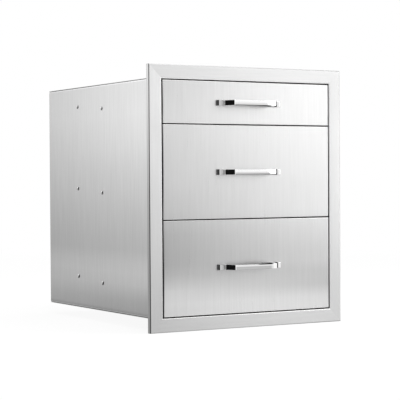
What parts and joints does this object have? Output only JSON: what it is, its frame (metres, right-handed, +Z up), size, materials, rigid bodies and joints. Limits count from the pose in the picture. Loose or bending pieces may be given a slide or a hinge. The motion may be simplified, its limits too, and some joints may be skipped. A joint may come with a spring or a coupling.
{
  "type": "outdoor kitchen drawer unit",
  "caption": "Stainless steel drawer unit with a mitred face frame, a closed casing and flush drawers that pull out on telescopic slides by bow handles.",
  "frame": {"origin": "middle of the unit's box on its lowest plane, which is the lower edge of the face frame", "axes": "+X to the right seen from the front, +Y from the face back into the wall, +Z up"},
  "size_m": [0.45, 0.5478, 0.521],
  "materials": {
    "frame_steel": "fine brushed",
    "front_steel": "fine brushed",
    "casing_steel": "fine brushed",
    "box_steel": "satin",
    "slide_zinc": "bright zinc plate",
    "ball_steel": "polished",
    "handle_polish": "mirror polished"
  },
  "bodies": {
    "casing": {"frame_top_rail": "frame_steel", "frame_bottom_rail": "frame_steel", "frame_left_stile": "frame_steel", "frame_right_stile": "frame_steel", "casing_left_side": "casing_steel", "casing_right_side": "casing_steel", "casing_top_panel": "casing_steel", "casing_bottom_panel": "casing_steel", "casing_back_panel": "casing_steel", "top_left_slide_cabinet_member": "slide_zinc", "top_right_slide_cabinet_member": "slide_zinc", "middle_left_slide_cabinet_member": "slide_zinc", "middle_right_slide_cabinet_member": "slide_zinc", "bottom_left_slide_cabinet_member": "slide_zinc", "bottom_right_slide_cabinet_member": "slide_zinc"},
    "top_drawer": {"top_drawer_front": "front_steel", "top_drawer_front_liner": "box_steel", "top_drawer_box": "box_steel", "top_drawer_back": "box_steel", "top_drawer_handle": "handle_polish", "top_left_slide_drawer_member": "slide_zinc", "top_right_slide_drawer_member": "slide_zinc"},
    "top_intermediate_members": {"top_left_slide_intermediate_member": "slide_zinc", "top_right_slide_intermediate_member": "slide_zinc"},
    "top_outer_ball_cages": {"top_left_slide_outer_ball_cage": "ball_steel", "top_right_slide_outer_ball_cage": "ball_steel"},
    "top_inner_ball_cages": {"top_left_slide_inner_ball_cage": "ball_steel", "top_right_slide_inner_ball_cage": "ball_steel"},
    "middle_drawer": {"middle_drawer_front": "front_steel", "middle_drawer_front_liner": "box_steel", "middle_drawer_box": "box_steel", "middle_drawer_back": "box_steel", "middle_drawer_handle": "handle_polish", "middle_left_slide_drawer_member": "slide_zinc", "middle_right_slide_drawer_member": "slide_zinc"},
    "middle_intermediate_members": {"middle_left_slide_intermediate_member": "slide_zinc", "middle_right_slide_intermediate_member": "slide_zinc"},
    "middle_outer_ball_cages": {"middle_left_slide_outer_ball_cage": "ball_steel", "middle_right_slide_outer_ball_cage": "ball_steel"},
    "middle_inner_ball_cages": {"middle_left_slide_inner_ball_cage": "ball_steel", "middle_right_slide_inner_ball_cage": "ball_steel"},
    "bottom_drawer": {"bottom_drawer_front": "front_steel", "bottom_drawer_front_liner": "box_steel", "bottom_drawer_box": "box_steel", "bottom_drawer_back": "box_steel", "bottom_drawer_handle": "handle_polish", "bottom_left_slide_drawer_member": "slide_zinc", "bottom_right_slide_drawer_member": "slide_zinc"},
    "bottom_intermediate_members": {"bottom_left_slide_intermediate_member": "slide_zinc", "bottom_right_slide_intermediate_member": "slide_zinc"},
    "bottom_outer_ball_cages": {"bottom_left_slide_outer_ball_cage": "ball_steel", "bottom_right_slide_outer_ball_cage": "ball_steel"},
    "bottom_inner_ball_cages": {"bottom_left_slide_inner_ball_cage": "ball_steel", "bottom_right_slide_inner_ball_cage": "ball_steel"}
  },
  "joints": [
    {"name": "top_drawer_slide", "type": "slide", "parent": "casing", "child": "top_drawer", "axis": [0, -1, 0], "range_m": [0, 0.42]},
    {"name": "top_intermediate_members_slide", "type": "slide", "parent": "casing", "child": "top_intermediate_members", "axis": [0, -1, 0], "range_m": [0, 0.21]},
    {"name": "top_outer_ball_cages_slide", "type": "slide", "parent": "casing", "child": "top_outer_ball_cages", "axis": [0, -1, 0], "range_m": [0, 0.105]},
    {"name": "top_inner_ball_cages_slide", "type": "slide", "parent": "casing", "child": "top_inner_ball_cages", "axis": [0, -1, 0], "range_m": [0, 0.315]},
    {"name": "middle_drawer_slide", "type": "slide", "parent": "casing", "child": "middle_drawer", "axis": [0, -1, 0], "range_m": [0, 0.42]},
    {"name": "middle_intermediate_members_slide", "type": "slide", "parent": "casing", "child": "middle_intermediate_members", "axis": [0, -1, 0], "range_m": [0, 0.21]},
    {"name": "middle_outer_ball_cages_slide", "type": "slide", "parent": "casing", "child": "middle_outer_ball_cages", "axis": [0, -1, 0], "range_m": [0, 0.105]},
    {"name": "middle_inner_ball_cages_slide", "type": "slide", "parent": "casing", "child": "middle_inner_ball_cages", "axis": [0, -1, 0], "range_m": [0, 0.315]},
    {"name": "bottom_drawer_slide", "type": "slide", "parent": "casing", "child": "bottom_drawer", "axis": [0, -1, 0], "range_m": [0, 0.42]},
    {"name": "bottom_intermediate_members_slide", "type": "slide", "parent": "casing", "child": "bottom_intermediate_members", "axis": [0, -1, 0], "range_m": [0, 0.21]},
    {"name": "bottom_outer_ball_cages_slide", "type": "slide", "parent": "casing", "child": "bottom_outer_ball_cages", "axis": [0, -1, 0], "range_m": [0, 0.105]},
    {"name": "bottom_inner_ball_cages_slide", "type": "slide", "parent": "casing", "child": "bottom_inner_ball_cages", "axis": [0, -1, 0], "range_m": [0, 0.315]}
  ],
  "couplings": [
    {"joint": "top_intermediate_members_slide", "follows": "top_drawer_slide", "ratio": 0.5},
    {"joint": "top_outer_ball_cages_slide", "follows": "top_drawer_slide", "ratio": 0.25},
    {"joint": "top_inner_ball_cages_slide", "follows": "top_drawer_slide", "ratio": 0.75},
    {"joint": "middle_intermediate_members_slide", "follows": "middle_drawer_slide", "ratio": 0.5},
    {"joint": "middle_outer_ball_cages_slide", "follows": "middle_drawer_slide", "ratio": 0.25},
    {"joint": "middle_inner_ball_cages_slide", "follows": "middle_drawer_slide", "ratio": 0.75},
    {"joint": "bottom_intermediate_members_slide", "follows": "bottom_drawer_slide", "ratio": 0.5},
    {"joint": "bottom_outer_ball_cages_slide", "follows": "bottom_drawer_slide", "ratio": 0.25},
    {"joint": "bottom_inner_ball_cages_slide", "follows": "bottom_drawer_slide", "ratio": 0.75}
  ]
}
